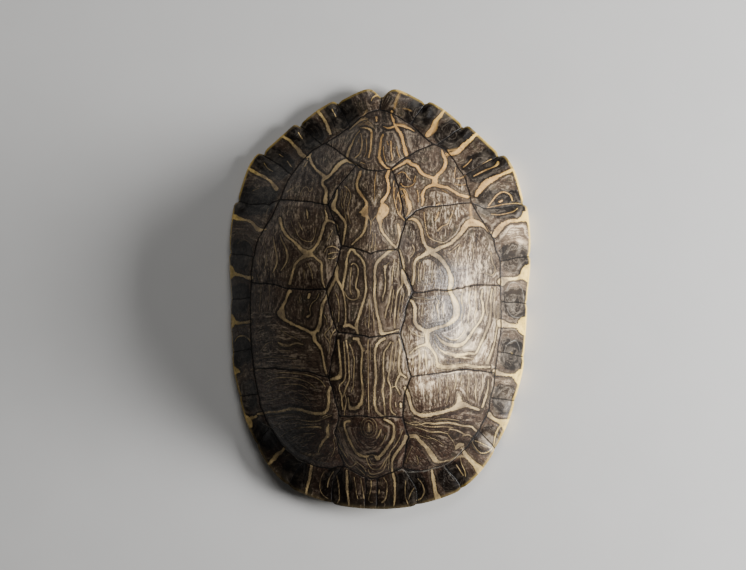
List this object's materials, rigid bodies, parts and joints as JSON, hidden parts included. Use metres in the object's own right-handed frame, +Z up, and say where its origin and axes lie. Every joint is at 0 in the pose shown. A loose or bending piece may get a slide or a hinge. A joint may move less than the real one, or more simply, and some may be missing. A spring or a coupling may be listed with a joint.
{
  "type": "pond turtle carapace",
  "caption": "Empty upper shell of a pond turtle, dark with a yellow line pattern, domed with a toothed tail rim and an open ribbed hollow beneath, lying dome up.",
  "frame": {"origin": "on the surface the shell lies on, under the middle of its box", "axes": "+Y towards the tail end, +Z up out of the dome, +X towards the animal's left side"},
  "size_m": [0.2032, 0.2803, 0.086],
  "materials": {
    "horn_and_bone": "semi-gloss dark brown horn scutes with yellow lines over pale dry bone inside"
  },
  "bodies": {
    "root": {"carapace": "horn_and_bone"}
  },
  "joints": []
}
